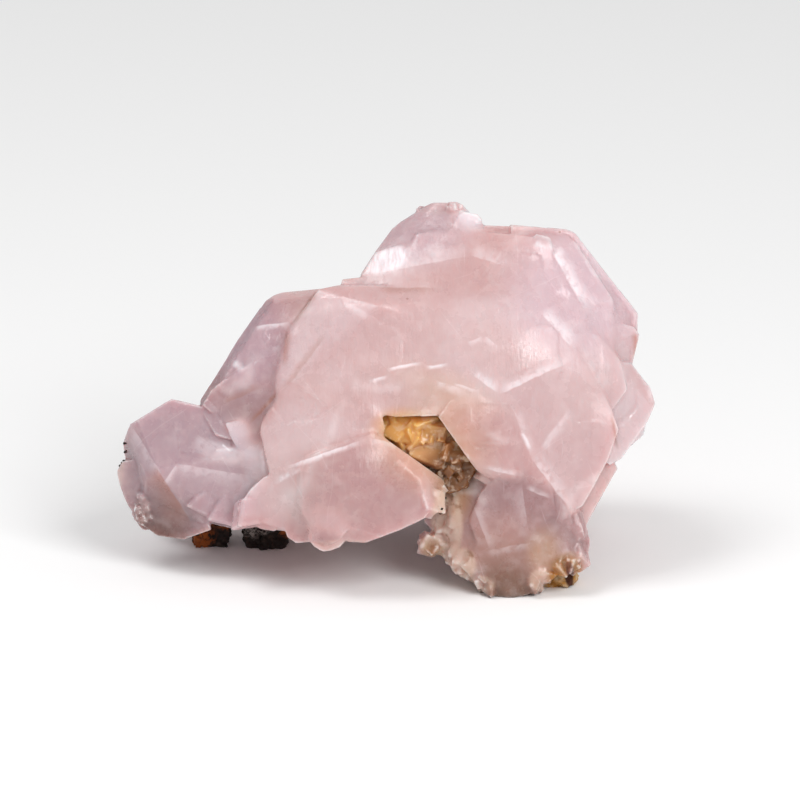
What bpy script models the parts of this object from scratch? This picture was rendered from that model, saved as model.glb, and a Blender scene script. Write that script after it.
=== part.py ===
"""A manganoan calcite specimen: a hand-sized cluster of blocky pink crystals grown into one another.

The crystals are set out on a drawing plane that leans back from the upright, the way the specimen
faces. On it u runs to the right and v up, both in millimetres, and w is the height above the plane,
towards the viewer. The ground is the level plane through u = v = w = 0, where the front foot stands.
"""

import math
from itertools import combinations, product

import bmesh
import bpy
import numpy as np
from mathutils import Euler, Matrix, Vector
from mathutils.geometry import convex_hull_2d

MM = 0.001
LEAN = math.radians(20)  # how far the drawing plane leans back from the upright
GROUND = 400  # side of the block of ground that the feet are cut flat against
FLAT = math.radians(0.04)  # faces that turn by less than this are one face
TOUCH_GAP = 0.3  # between a crystal and the foreign matter that sits on it

PINK = (0.80, 0.58, 0.60)
HONEY = (0.72, 0.50, 0.27)
SOOT = (0.035, 0.028, 0.025)
RUST = (0.42, 0.27, 0.12)


# ---------------------------------------------------------------- frames and materials


def drawing_frame(heading, lean):
    """From mm on a drawing plane, seen from heading (0 is the front), to metres in the part's frame."""
    across = Vector((math.cos(heading), math.sin(heading), 0))
    level = Vector((math.sin(heading), -math.cos(heading), 0))
    towards = level * math.cos(lean) + Vector((0, 0, math.sin(lean)))
    up = towards.cross(across)
    turn = Matrix((across, up, towards)).transposed()
    return turn.to_4x4() @ Matrix.Scale(MM, 4)


FRONT = drawing_frame(0, LEAN)
REAR = drawing_frame(math.radians(180), 0)
REAR_RIGHT = drawing_frame(math.radians(145), math.radians(12))
REAR_LEFT = drawing_frame(math.radians(210), math.radians(10))


def material(name, colour, roughness):
    made = bpy.data.materials.new(name)
    made.use_nodes = True
    shader = made.node_tree.nodes["Principled BSDF"]
    shader.inputs["Base Color"].default_value = (*colour, 1)
    shader.inputs["Roughness"].default_value = roughness
    shader.inputs["Metallic"].default_value = 0
    return made


# ---------------------------------------------------------------- one crystal


class Face:
    """A crystal face w = height + across * u + up * v. The crystal lies below it."""

    def __init__(self, height, across, up):
        self.height, self.across, self.up = height, across, up

    @classmethod
    def leaning(cls, u, v, w, right, up):
        """Through (u, v, w), turned right and up by these degrees from facing the viewer."""
        across, rise = -math.tan(math.radians(right)), -math.tan(math.radians(up))
        return cls(w - across * u - rise * v, across, rise)

    def falling(self, start, end, anchor, fall):
        """The face that meets this one along start to end and falls by `fall` away from anchor."""
        along = Vector((end[0] - start[0], end[1] - start[1])).normalized()
        out = Vector((along.y, -along.x))
        if out.dot(Vector(anchor) - Vector(start)) > 0:
            out = -out
        return Face(
            self.height + fall * out.dot(Vector(start)),
            self.across - fall * out.x,
            self.up - fall * out.y,
        )

    def plane(self):
        return Vector((0, 0, self.height)), Vector((-self.across, -self.up, 1)).normalized()


def solid_between(planes):
    """The convex solid that lies behind every plane (point, outward normal)."""
    normals = np.array([normal[:] for _, normal in planes])
    heights = np.array([normal.dot(point) for point, normal in planes])
    threes = np.array(list(combinations(range(len(planes)), 3)))
    threes = threes[np.abs(np.linalg.det(normals[threes])) > 1e-5]
    meetings = np.linalg.solve(normals[threes], heights[threes][..., None])[..., 0]
    inside = (meetings @ normals.T <= heights + 1e-4).all(axis=1)
    bm = bmesh.new()
    for corner in meetings[inside]:
        bm.verts.new(corner)
    bmesh.ops.remove_doubles(bm, verts=bm.verts[:], dist=2e-3)
    bmesh.ops.convex_hull(bm, input=bm.verts[:])
    loose = [vert for vert in bm.verts if not vert.link_faces]
    bmesh.ops.delete(bm, geom=loose, context="VERTS")
    bmesh.ops.dissolve_limit(bm, angle_limit=FLAT, verts=bm.verts[:], edges=bm.edges[:])
    bmesh.ops.recalc_face_normals(bm, faces=bm.faces[:])
    return bm


def edges_of(outline):
    """Each edge of the hull of an outline as (start, end, outward direction)."""
    corners = [Vector(outline[index]) for index in convex_hull_2d(outline)]
    middle = sum(corners, Vector((0, 0))) / len(corners)
    found = []
    for start, end in zip(corners, corners[1:] + corners[:1]):
        along = (end - start).normalized()
        out = Vector((along.y, -along.x))
        found.append((start, end, out if out.dot(start - middle) > 0 else -out))
    return found


def crystal(name, outline, face, flanks=(), girdle=8, taper=0.8, depth=24, frame=FRONT, grow=0):
    """One crystal. The hull of `outline` is its silhouette on the drawing plane, and `face` is its main
    face as (u, v, w, degrees right, degrees up). A flank is (start, end, fall): it meets the main face
    along that line and falls away outwards; a fourth number hangs it from that flank, counted from 1,
    instead. `girdle` mm below the main face the sides start to run in, by `taper` mm for each mm of
    depth, down to `depth` mm. `grow` moves every face out, for a cutter that leaves a gap."""
    main = Face.leaning(*face)
    anchor = Vector(face[:2])
    fronts = [main]
    for start, end, fall, *hung_from in flanks:
        parent = fronts[hung_from[0]] if hung_from else main
        fronts.append(parent.falling(start, end, anchor, fall))
    planes = [front.plane() for front in fronts]
    low = face[2]
    for start, _, out in edges_of(outline):
        planes.append((start.to_3d(), out.to_3d()))
        behind = Vector((out.x * taper, out.y * taper, -1)).normalized()
        planes.append((Vector((start.x, start.y, low - girdle)), behind))
    planes.append((Vector((0, 0, low - depth)), Vector((0, 0, -1))))
    bm = solid_between([(point + normal * grow, normal) for point, normal in planes])
    mesh = bpy.data.meshes.new(name)
    bm.to_mesh(mesh)
    bm.free()
    made = bpy.data.objects.new(name, mesh)
    made.matrix_world = frame
    return made


def joined(name, crystals):
    """One body: the union of the crystals."""
    base, rest = crystals[0], crystals[1:]
    base.name = name
    base.data.name = name
    bpy.context.scene.collection.objects.link(base)
    for other in rest:
        combine(base, other, "UNION")
    return base


def combine(base, other, operation):
    """Boolean of base with other, which is used up."""
    bpy.context.scene.collection.objects.link(other)
    other.hide_render = True
    other.display_type = "WIRE"
    step = base.modifiers.new(operation.title(), "BOOLEAN")
    step.operation = operation
    step.solver = "EXACT"
    step.object = other
    bpy.context.view_layer.update()
    graph = bpy.context.evaluated_depsgraph_get()
    result = bpy.data.meshes.new_from_object(base.evaluated_get(graph))
    base.modifiers.clear()
    base.data = result
    bpy.data.objects.remove(other)


def tidy(made, merges=(0.00004, 0.00002, 0.00001, 0.000004, 0.000001)):
    """Into the part's frame as triangles. Corners are merged as far apart as leaves the body closed, and
    flat regions are made whole first where that leaves it closed too."""
    for merge, whole in product(merges, (True, False)):
        bm = bmesh.new()
        bm.from_mesh(made.data)
        bm.transform(made.matrix_world)
        bmesh.ops.remove_doubles(bm, verts=bm.verts[:], dist=merge)
        bmesh.ops.dissolve_degenerate(bm, edges=bm.edges[:], dist=1e-6)
        if whole:
            bmesh.ops.dissolve_limit(bm, angle_limit=FLAT, verts=bm.verts[:], edges=bm.edges[:])
        bmesh.ops.recalc_face_normals(bm, faces=bm.faces[:])
        bmesh.ops.triangulate(bm, faces=bm.faces[:])
        if all(len(edge.link_faces) == 2 for edge in bm.edges):
            break
    made.matrix_world = Matrix()
    bm.to_mesh(made.data)
    bm.free()
    made.data.name = made.name


# ---------------------------------------------------------------- the calcite cluster

LOBE = [
    # the crystal at the left: its big face, the strip left of it and the two faces under it
    dict(
        name="lobe_upper",
        outline=[
            (-51.2, 35.2), (-49.4, 36), (-43, 40.2), (-37.2, 38.8), (-29, 33), (-28, 24),
            (-34.6, 15.6), (-45, 14.8), (-51, 19), (-53.4, 27.4), (-53.2, 30.6),
        ],
        face=(-39, 33, -4, -12, 10),
        flanks=[
            ((-48.8, 34), (-44.6, 24), 0.8),
            ((-41.8, 26.8), (-29.6, 29), 0.5),
            ((-44.6, 23.8), (-38.2, 17), 0.8, 2),
            ((-50.8, 32), (-48.2, 25), 1.2, 1),
        ],
        girdle=9, taper=0.9, depth=30,
    ),
    dict(
        name="lobe_far",
        outline=[
            (-54, 25.6), (-53.2, 22), (-51.6, 18.6), (-48.8, 14.8), (-46, 12.8), (-40.6, 12),
            (-35, 14), (-38, 24), (-47, 28.6), (-52.8, 27.8),
        ],
        face=(-46, 20, -9.5, -22, -12),
        girdle=5, depth=18,
    ),
    dict(
        name="lobe_blade",
        outline=[
            (-32.2, 35.4), (-29.2, 36.2), (-27.6, 35), (-24.4, 29.6), (-24.8, 28), (-27.4, 28),
            (-30.2, 31),
        ],
        face=(-28.4, 32, 0, 10, 4),
        flanks=[((-31.4, 34), (-27, 29), 0.8)],
        girdle=3, depth=16,
    ),
    dict(
        name="lobe_shelf",
        outline=[(-34, 30), (-22, 31), (-21, 25), (-23, 20), (-29.4, 16), (-33, 17)],
        face=(-28, 25, -2.3, -12, -16),
        girdle=5, depth=22,
    ),
]

BACK_LEFT = [
    dict(
        name="slope",
        outline=[
            (-37.2, 38.6), (-37.2, 40), (-29.6, 52.2), (-24.2, 59.9), (-22.4, 61.1),
            (-20.8, 61.6), (-13, 62.4), (-6, 60), (-6, 40), (-22, 30), (-34, 33),
        ],
        face=(-26, 50, -5.5, -14, 18),
        flanks=[((-35.6, 39), (-23.2, 58.9), 1.6), ((-22.6, 60.1), (-13.6, 61.1), 1.8)],
        girdle=9, depth=34,
    ),
    dict(
        name="slope_step_low",
        outline=[(-36.6, 39), (-35, 42), (-30.2, 45.8), (-27.6, 46), (-29.2, 43), (-34.8, 37.6)],
        face=(-31, 42, -3.4, -12, 14),
        girdle=4, depth=20,
    ),
    dict(
        name="slope_step",
        outline=[
            (-31, 44.4), (-30.2, 45.8), (-24.8, 48.8), (-22, 50.4), (-16, 46), (-20, 42.6),
            (-29.4, 42.8),
        ],
        face=(-25, 46, -2.4, -12, 14),
        girdle=4, depth=22,
    ),
    dict(
        name="slope_foot",
        outline=[
            (-34.8, 37.4), (-29.6, 42.8), (-22.2, 43.2), (-20, 40), (-22, 33), (-30, 32.6),
            (-33.6, 35.6),
        ],
        face=(-28, 39, -3.2, -8, 8),
        flanks=[((-34, 37.6), (-29.4, 42), 1.0)],
        girdle=3, depth=20,
    ),
]

CENTRE = [
    # the broad crystal right of the slope, with its diagonal edge and the narrow ledge along its top
    dict(
        name="broad",
        outline=[
            (-22.6, 43), (-19.6, 54), (-13.4, 62.2), (-9.6, 63), (-5.2, 63), (9.8, 62.8),
            (16, 57), (18, 50), (14, 42), (4, 37), (-12, 38), (-22, 41),
        ],
        face=(-1, 50, 3.4, -1, 8),
        flanks=[((-4.2, 56.8), (-19.2, 44), 0.32), ((-8.6, 58.6), (13.8, 59.4), 0.9)],
        girdle=9, depth=40,
    ),
    dict(
        name="broad_step",
        outline=[(-9.4, 60), (-8.8, 64.2), (-5, 64.6), (7, 64.6), (12, 60), (4, 56), (-8, 56)],
        face=(0, 62, -3.4, 0, 24),
        girdle=5, depth=26,
    ),
    dict(
        name="front_left",
        outline=[
            (-22, 40.2), (-14, 46.6), (-8, 47), (-2, 42), (0, 34), (-5, 29), (-19, 23.6),
            (-23.2, 25), (-25.2, 34), (-24.8, 36.2),
        ],
        face=(-13, 36, 4.6, -6, 5),
        flanks=[((-17, 29.8), (-3, 34.6), 0.6)],
        girdle=8, depth=34,
    ),
    # the crystal that hangs lowest at the front, with its bright bevel above the hollow
    dict(
        name="front_low",
        outline=[
            (-17.6, 26), (-16.4, 28.6), (-2.2, 33.8), (11.6, 24), (11.9, 22), (11, 20.4),
            (7.8, 16.4), (2.8, 14), (-4, 11.6), (-7.2, 11.6), (-14, 13.5), (-17.6, 18),
        ],
        face=(-2, 22, 6.6, 2, -7),
        flanks=[
            ((-2, 31.8), (6.8, 24), 0.9),
            ((6.8, 24), (7.8, 21), 1.1),
            ((-17, 17.6), (-6, 14.2), 0.8),
        ],
        girdle=7, depth=30,
    ),
    dict(
        name="brow",
        outline=[
            (-4.4, 40), (-3.2, 44), (2.6, 47.6), (7.4, 48), (12.4, 47), (13, 40), (10.6, 36.9),
            (2, 36.6), (-2, 37.2),
        ],
        face=(4, 42, 5, 1, 4),
        flanks=[((-3.4, 43), (12.4, 44.6), 0.5)],
        girdle=7, depth=26,
    ),
    dict(
        name="brow_knob",
        outline=[(10.8, 45.2), (18.4, 44), (18.8, 40), (15.8, 38.6), (11.8, 40.8)],
        face=(15, 42.4, 6.2, 2, 2),
        flanks=[((12, 42.6), (16, 40), 0.9)],
        girdle=5, depth=24,
    ),
    dict(
        name="under_diamond",
        outline=[(12, 47), (21, 46), (24, 41), (23, 37), (16, 36.4), (12.6, 40)],
        face=(19, 41, 3.6, 0, -2),
        girdle=6, depth=20,
    ),
    dict(
        name="diamond",
        outline=[
            (15.2, 58.4), (30.9, 57.9), (38.2, 49.8), (31.8, 44.4), (23.8, 38.8), (12.4, 47.6),
            (13, 54),
        ],
        face=(25, 50, 5.4, 0, 9),
        flanks=[
            ((22.8, 42.4), (31.8, 47), 0.9),
            ((12.8, 49.4), (22.8, 42.4), 0.9),
            ((16, 56), (30, 56), 0.6),
        ],
        girdle=8, depth=34,
    ),
    dict(
        name="diamond_step",
        outline=[(14, 60.6), (31.8, 60.2), (39.4, 50.8), (36, 44), (24, 40), (13, 50)],
        face=(26, 52, 3.0, 3, 12),
        girdle=8, depth=34,
    ),
]

TOP = [
    dict(
        name="crown",
        outline=[
            (-5, 65.2), (-2, 69.8), (1.4, 74.4), (3, 75.7), (8.2, 79), (9.6, 79.6), (13.2, 79.6),
            (16, 78), (19.6, 75.2), (22, 66), (14, 58), (-4, 60),
        ],
        face=(8, 74, -8.5, -6, 26),
        flanks=[((-3, 67.4), (9, 78.4), 0.9)],
        girdle=7, depth=24,
    ),
    dict(
        name="crown_mirror",
        outline=[
            (-5.2, 64), (-4.8, 65.4), (-2, 69.6), (2.8, 71.2), (6, 69.4), (6.4, 66), (2, 62),
            (-4, 62),
        ],
        face=(1, 68, -5.2, -16, 30),
        girdle=4, depth=20,
    ),
    dict(
        name="crown_front",
        outline=[
            (4.6, 70), (6, 73.4), (15, 74.4), (21, 74.4), (26, 66), (20, 58), (6, 58), (4, 64),
        ],
        face=(13, 69, -4.2, 1, 22),
        girdle=6, depth=26,
    ),
    dict(
        name="crown_ledge",
        outline=[(3, 64), (6, 67.8), (10.8, 68.2), (19, 68.8), (26, 64), (24, 57), (8, 56)],
        face=(14, 63, -1.4, 1, 18),
        girdle=6, depth=28,
    ),
    dict(
        name="crest_tooth",
        outline=[(12.6, 78.6), (12.9, 79.9), (14.2, 79.6), (15.5, 79), (15.9, 77.4), (14, 76.4)],
        face=(14, 78.4, -9.4, 10, 20),
        girdle=2.5, depth=8,
    ),
    dict(
        name="crest_white",
        outline=[
            (14.4, 76.6), (15.8, 77.6), (18.4, 77.2), (19.2, 76.3), (19.6, 74.8), (14.2, 74.2),
        ],
        face=(17, 76, -7.6, 4, -4),
        girdle=3, depth=10,
    ),
]

# plates in parallel growth, stepping down and back towards the right edge
RIGHT_STEPS = [
    dict(
        name="plate_inner",
        outline=[
            (17, 74), (29.2, 72.7), (32.6, 70.2), (41, 56.8), (38, 48), (24, 47), (14, 57),
            (14.6, 70),
        ],
        face=(28, 62, -1.6, 0, 19),
        girdle=7, depth=34,
    ),
    dict(
        name="plate_middle",
        outline=[
            (19.8, 75), (29.6, 74.6), (36.4, 73), (38.4, 71.2), (45.6, 60), (46, 50), (36, 44),
            (20, 58),
        ],
        face=(36, 62, -5.4, 11, 18),
        girdle=7, depth=34,
    ),
    dict(
        name="plate_outer",
        outline=[
            (25, 75.1), (36, 74.2), (37.8, 73.7), (50.6, 57.2), (50.4, 53), (49.2, 46), (40, 38),
            (27, 50),
        ],
        face=(42, 60, -8.4, 18, 12),
        girdle=9, depth=36,
    ),
    dict(
        name="plate_chip",
        outline=[(29.2, 72.4), (30.2, 73.2), (32.8, 72.6), (34.4, 70.4), (33, 69)],
        face=(31.6, 71.6, -3.6, -8, 8),
        girdle=2, depth=10,
    ),
    dict(
        name="right_knob",
        outline=[(44, 56), (49.7, 54.6), (51, 53), (49.4, 46.6), (44, 43), (40, 50)],
        face=(46, 50, -7, 18, 2),
        girdle=5, depth=26,
    ),
    dict(
        name="right_ridge",
        outline=[(38, 52), (42, 54), (47, 48), (48.4, 42), (45.4, 38), (40, 42)],
        face=(43.4, 46, -0.6, 14, 0),
        girdle=6, depth=26,
    ),
    dict(
        name="right_far",
        outline=[
            (49.2, 47.4), (53, 42.4), (54, 39.2), (52.4, 35.4), (50, 32.2), (47.2, 28.2),
            (44.8, 26.8), (40, 32), (41, 44), (45, 47.6),
        ],
        face=(48, 38, -5, 22, -2),
        flanks=[((47.4, 46), (52, 40), 0.5)],
        girdle=6, depth=26,
    ),
]

RIGHT_LOW = [
    dict(
        name="broad_right",
        outline=[
            (24, 39), (38.4, 50), (42.6, 44), (45.4, 37.6), (46.6, 34), (44.4, 28), (41.2, 22),
            (39.4, 18.8), (36, 17), (30, 24), (24, 34),
        ],
        face=(35, 35, 2.6, 11, -7),
        girdle=8, depth=38,
    ),
    dict(
        name="right_fin",
        outline=[(44.4, 29.4), (46.5, 26.2), (39.8, 14.4), (36.6, 13), (34, 24), (38, 30)],
        face=(42, 22, -5, 22, -8),
        girdle=6, depth=22,
    ),
    dict(
        name="hanging_left",
        outline=[
            (10.6, 36.6), (12.8, 39.8), (18.8, 40.2), (21.4, 36), (24.4, 30), (26.2, 24.4),
            (20.8, 24.2), (18.6, 25.4), (16.6, 28),
        ],
        face=(18.5, 33, 6.2, -5, -4),
        flanks=[((16.8, 28.4), (26, 26), 0.9), ((20.4, 38), (24.6, 29), 0.5)],
        girdle=8, depth=26,
    ),
    dict(
        name="hanging_right",
        outline=[
            (18.8, 40.4), (24.4, 39), (28.6, 33), (31, 29), (33, 25), (33.4, 21), (32.4, 20.4),
            (30.4, 20), (28.6, 21.2), (26.6, 23.6), (20, 34),
        ],
        face=(26.6, 31, 4.6, 7, -5),
        flanks=[((24.6, 26.2), (32.8, 22.8), 0.8)],
        girdle=8, depth=28,
    ),
]

UNDER = [
    dict(
        name="under_left",
        outline=[
            (-24.2, 24.8), (-17, 26.2), (-16, 20), (-19, 16.8), (-22.2, 13.8), (-25, 14.2),
            (-29.2, 16.6), (-29.8, 18.4), (-27, 22.4),
        ],
        face=(-23, 20, 2.2, -9, -10),
        flanks=[((-28.6, 17.8), (-22.4, 15.2), 0.9), ((-22.4, 15.2), (-17.4, 20), 0.8)],
        girdle=5, depth=26,
    ),
    dict(
        name="under_tan",
        outline=[
            (-19.4, 17.6), (-14.6, 17.2), (-14.6, 12.4), (-15.4, 11.6), (-18, 11.4),
            (-19.8, 12.6), (-20.6, 16),
        ],
        face=(-17.5, 14.5, 1.5, -5, -16),
        girdle=3.5, depth=18,
    ),
    dict(
        name="under_clear",
        outline=[
            (-14.8, 16.4), (-12, 18), (-8, 17), (-7.6, 14), (-9.4, 12), (-12.2, 10.8),
            (-14.8, 12),
        ],
        face=(-11, 14.4, 6, -2, -12),
        flanks=[((-14, 14), (-8.4, 13), 0.7)],
        girdle=3, depth=16,
    ),
    dict(
        name="under_crust",
        outline=[
            (-15.6, 12.4), (-14.4, 10.8), (-12.6, 9.8), (-11, 10), (-9.2, 10.7), (-7.4, 12.6),
            (-8, 16), (-15, 16),
        ],
        face=(-11.4, 12, 3.4, 0, -18),
        girdle=3, depth=14,
    ),
]

LEG = [
    dict(
        name="leg_upper",
        outline=[
            (18.6, 21.2), (22.2, 24.6), (27, 25.4), (33.4, 22), (34, 17), (26, 11.6),
            (19.8, 14.4), (18.2, 18),
        ],
        face=(25, 19, 2.6, -6, -8),
        flanks=[((19.6, 18), (31, 15.4), 0.5)],
        girdle=8, depth=30,
    ),
    dict(
        name="leg_left",
        outline=[(16.4, 15.6), (18.6, 21), (25, 20.6), (27, 12), (24, 8.4), (19.6, 8.6), (18, 12)],
        face=(21.5, 14.5, 1.6, -12, -2),
        flanks=[((18.6, 11.6), (25.6, 10.8), 0.8)],
        girdle=7, depth=28,
    ),
    dict(
        name="leg_right",
        outline=[
            (25.8, 20.6), (33, 22), (39.4, 17.4), (40.9, 11.6), (40.4, 8.6), (37, 6), (30, 6),
            (26.4, 12),
        ],
        face=(32, 14, 1.4, 10, -4),
        flanks=[((34.6, 20), (36.6, 8), 0.6)],
        girdle=7, depth=28,
    ),
    dict(
        name="leg_crust",
        outline=[
            (9.2, 15.4), (9.8, 19), (12, 24), (17.4, 26), (20, 14), (17.6, 5.4), (13.8, 6.6),
            (13.2, 8.6), (9.4, 12.6),
        ],
        face=(14.4, 14, -3, -20, 0),
        flanks=[((12.6, 20), (13.4, 10), 0.6)],
        girdle=5, depth=26,
    ),
    dict(
        name="leg_spur",
        outline=[(7.4, 10.9), (8.4, 12.4), (12, 13.6), (15, 10), (10.8, 9.8), (8, 10.2)],
        face=(11, 11.4, -4.6, -14, 0),
        girdle=2.5, depth=12,
    ),
    dict(
        name="leg_tip",
        outline=[
            (16.4, 6.4), (17.2, 3.8), (19.6, 2), (22.2, 0.2), (24.8, -0.1), (27, 1), (29.8, 1.6),
            (31.2, 3.4), (32, 9), (26, 13), (18, 11),
        ],
        face=(24, 5, 0.2, -2, -2),
        flanks=[((18, 6), (24, 2.6), 0.6), ((24, 2.6), (30.6, 5), 0.5)],
        girdle=6, taper=0.3, depth=30,
    ),
]

# the part of the specimen that faces away, on an upright plane seen from behind: u runs to its left
REAR_SIDE = [
    dict(
        name="rear_high",
        outline=[
            (-39, 52), (-36, 60), (-22, 62.4), (-4, 58), (4, 48), (0, 34), (-24, 28), (-44, 36),
        ],
        face=(-20, 46, 51, -8, 16),
        flanks=[((-40, 44), (-22, 58), 0.5), ((-24, 34), (0, 40), 0.6)],
        girdle=9, taper=0.7, depth=40,
    ),
    dict(
        name="rear_left",
        outline=[(2, 50), (14, 49), (24, 42), (33, 28), (30, 12), (10, 8), (-4, 24), (-4, 44)],
        face=(14, 30, 47, 10, 8),
        flanks=[((4, 42), (26, 32), 0.5), ((24, 36), (22, 10), 0.5)],
        girdle=10, taper=0.8, depth=36,
    ),
    dict(
        name="rear_low",
        outline=[
            (-42, 12), (-43, 30), (-30, 38), (-10, 36), (4, 24), (0, 14), (-14, -2), (-34, -4),
        ],
        face=(-18, 18, 51, -6, -6),
        flanks=[((-36, 24), (2, 26), 0.5), ((-34, 8), (-28, 30), 0.5)],
        girdle=9, taper=0.8, depth=38,
    ),
    dict(
        name="rear_lobe",
        outline=[(34, 29), (46, 25), (50, 16), (46, 6), (36, 5), (26, 12), (26, 26)],
        face=(38, 16, 39, 12, 4),
        flanks=[((36, 24), (47, 20), 0.6)],
        girdle=7, taper=0.8, depth=24,
    ),
    dict(
        name="rear_right_high",
        outline=[(-47, 40), (-44, 51), (-34, 54), (-24, 44), (-30, 30), (-42, 28)],
        face=(-38, 42, 45, -26, 6),
        girdle=8, taper=0.9, depth=30,
    ),
    dict(
        name="rear_middle",
        outline=[(-8, 36), (2, 40), (10, 34), (6, 22), (-4, 18), (-12, 26)],
        face=(0, 30, 52.5, 14, 26),
        flanks=[((-8, 32), (8, 34), 0.6)],
        girdle=4, taper=1.0, depth=16,
    ),
    dict(
        name="keel",
        outline=[(30, 18), (30, 8), (26, 5.4), (8, 5.4), (4, 12), (6, 22), (24, 24)],
        face=(18, 14, 46, 4, -6),
        girdle=12, taper=1.4, depth=20,
    ),
]

# crystals that lean out of the back, seen from behind and to the right
REAR_RIGHT_SIDE = [
    dict(
        name="rear_upper_block",
        outline=[(-10, 22), (-6, 33), (3, 38), (12, 33), (13, 22), (3, 14)],
        face=(3, 26, 63, -10, 8),
        flanks=[((-8, 29), (11, 32), 0.6), ((7, 34), (9, 17), 0.5)],
        girdle=5, taper=0.9, depth=22,
    ),
    dict(
        name="rear_right_block",
        outline=[(-15, 7), (-11, 19), (-1, 21), (5, 12), (1, 1), (-10, -1)],
        face=(-5, 10, 60, 12, 4),
        flanks=[((-12, 14), (3, 16), 0.6)],
        girdle=5, taper=0.9, depth=22,
    ),
    dict(
        name="rear_foot_block",
        outline=[(3, -2), (7, 9), (17, 10), (23, 2), (19, -9), (8, -10)],
        face=(12, 1, 54, -10, -8),
        flanks=[((8, 8), (10, -8), 0.5)],
        girdle=5, taper=0.8, depth=24,
    ),
    dict(
        name="rear_edge_block",
        outline=[(-28, 20), (-24, 31), (-14, 32), (-9, 22), (-14, 12), (-25, 12)],
        face=(-18, 22, 56, 8, 10),
        flanks=[((-26, 26), (-11, 27), 0.6)],
        girdle=5, taper=0.9, depth=22,
    ),
]

# crystals that lean out of the back, seen from behind and to the left
REAR_LEFT_SIDE = [
    dict(
        name="rear_left_block",
        outline=[(-21, 24), (-17, 35), (-8, 37), (0, 28), (-4, 16), (-16, 15)],
        face=(-11, 26, 53, 8, 10),
        flanks=[((-18, 31), (-3, 31), 0.6), ((-9, 35), (-10, 17), 0.5)],
        girdle=5, taper=0.9, depth=20,
    ),
    dict(
        name="rear_left_small",
        outline=[(-7, 8), (-4, 17), (5, 19), (11, 10), (6, 1), (-4, 0)],
        face=(2, 9, 54, -8, -4),
        flanks=[((-5, 13), (9, 13), 0.6)],
        girdle=4, taper=0.9, depth=18,
    ),
]

# what fills the middle, behind the crystals that show
HEART = [
    dict(
        name="heart_left",
        outline=[(-32, 34), (-20, 56), (-6, 60), (8, 56), (8, 38), (2, 20), (-14, 16), (-28, 18)],
        face=(-10, 36, -5, 0, 0),
        girdle=12, taper=0.5, depth=40,
    ),
    dict(
        name="heart_right",
        outline=[(2, 40), (8, 66), (34, 68), (46, 50), (44, 34), (36, 18), (14, 20), (4, 30)],
        face=(24, 42, -6, 0, 0),
        girdle=14, taper=0.5, depth=44,
    ),
    dict(
        name="heart_leg",
        outline=[(13, 24), (38, 24), (38, 10), (31, 3), (20, 2.6), (14, 8)],
        face=(26, 14, -2, 0, 0),
        girdle=8, taper=0.3, depth=34,
    ),
]


def askew(name):
    """A turn of a few hundredths of a degree, each crystal's own, so that no two share a plane."""
    steps = sum(ord(letter) * place for place, letter in enumerate(name, 1))
    turns = [math.radians(0.011 * (steps % divisor + 1)) for divisor in (7, 11, 13)]
    return Euler(turns).to_matrix().to_4x4()


def cut(spec, frame=FRONT, grow=0):
    return crystal(frame=frame @ askew(spec["name"]), grow=grow, **spec)


def calcite_cluster(pink):
    front = HEART + LOBE + BACK_LEFT + CENTRE + TOP + RIGHT_STEPS + RIGHT_LOW + UNDER + LEG
    crystals = [cut(spec) for spec in front]
    for side, frame in ((REAR_SIDE, REAR), (REAR_RIGHT_SIDE, REAR_RIGHT), (REAR_LEFT_SIDE, REAR_LEFT)):
        crystals += [cut(spec, frame) for spec in side]
    made = joined("calcite_cluster", crystals)
    made.data.materials.append(pink)
    return made


# ---------------------------------------------------------------- foreign matter

LUMP_LEFT = [
    dict(
        name="dark_matrix_left",
        outline=[
            (-39, 11.6), (-37.6, 14.6), (-35, 17), (-32.2, 17), (-31.4, 14), (-32.4, 9), (-34, 8),
            (-38, 8),
        ],
        face=(-35, 12, -28.6, -6, -4),
        girdle=3, taper=1.5, depth=10,
    ),
    dict(
        name="lump_left_chip",
        outline=[(-38.2, 12.6), (-35.8, 13.6), (-34.6, 11), (-36.4, 9), (-38.4, 10)],
        face=(-36.6, 11.6, -28, 12, -10),
        girdle=2, depth=6,
    ),
]

LUMP_CENTRE = [
    dict(
        name="dark_matrix_centre",
        outline=[
            (-28.8, 13.4), (-27, 17), (-21, 17), (-19.4, 13), (-21, 9), (-25.6, 8.8),
            (-28.4, 11.6),
        ],
        face=(-24, 12.6, -27.8, 0, -6),
        girdle=3, taper=1.5, depth=12,
    ),
    dict(
        name="lump_centre_chip",
        outline=[(-24.6, 14), (-20.4, 14.4), (-19.5, 12), (-22.4, 9.4), (-25, 9.8)],
        face=(-22, 12, -27.2, 14, -12),
        girdle=2, depth=7,
    ),
]

LUMP_RIGHT = [
    dict(
        name="stained_matrix_right",
        outline=[
            (31.2, 7.4), (33, 9), (38.2, 7.6), (37.4, 5), (38, 3.2), (37.6, 1), (33, 1),
            (31.2, 4),
        ],
        face=(34.6, 5, -6.8, 4, -6),
        girdle=3, taper=1.2, depth=12,
    ),
    dict(
        name="lump_right_chip",
        outline=[(34, 7), (37, 7.4), (38, 4), (36.2, 2.6), (33.8, 4)],
        face=(36, 5.2, -6.1, 14, 6),
        girdle=1.5, depth=6,
    ),
]

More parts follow.
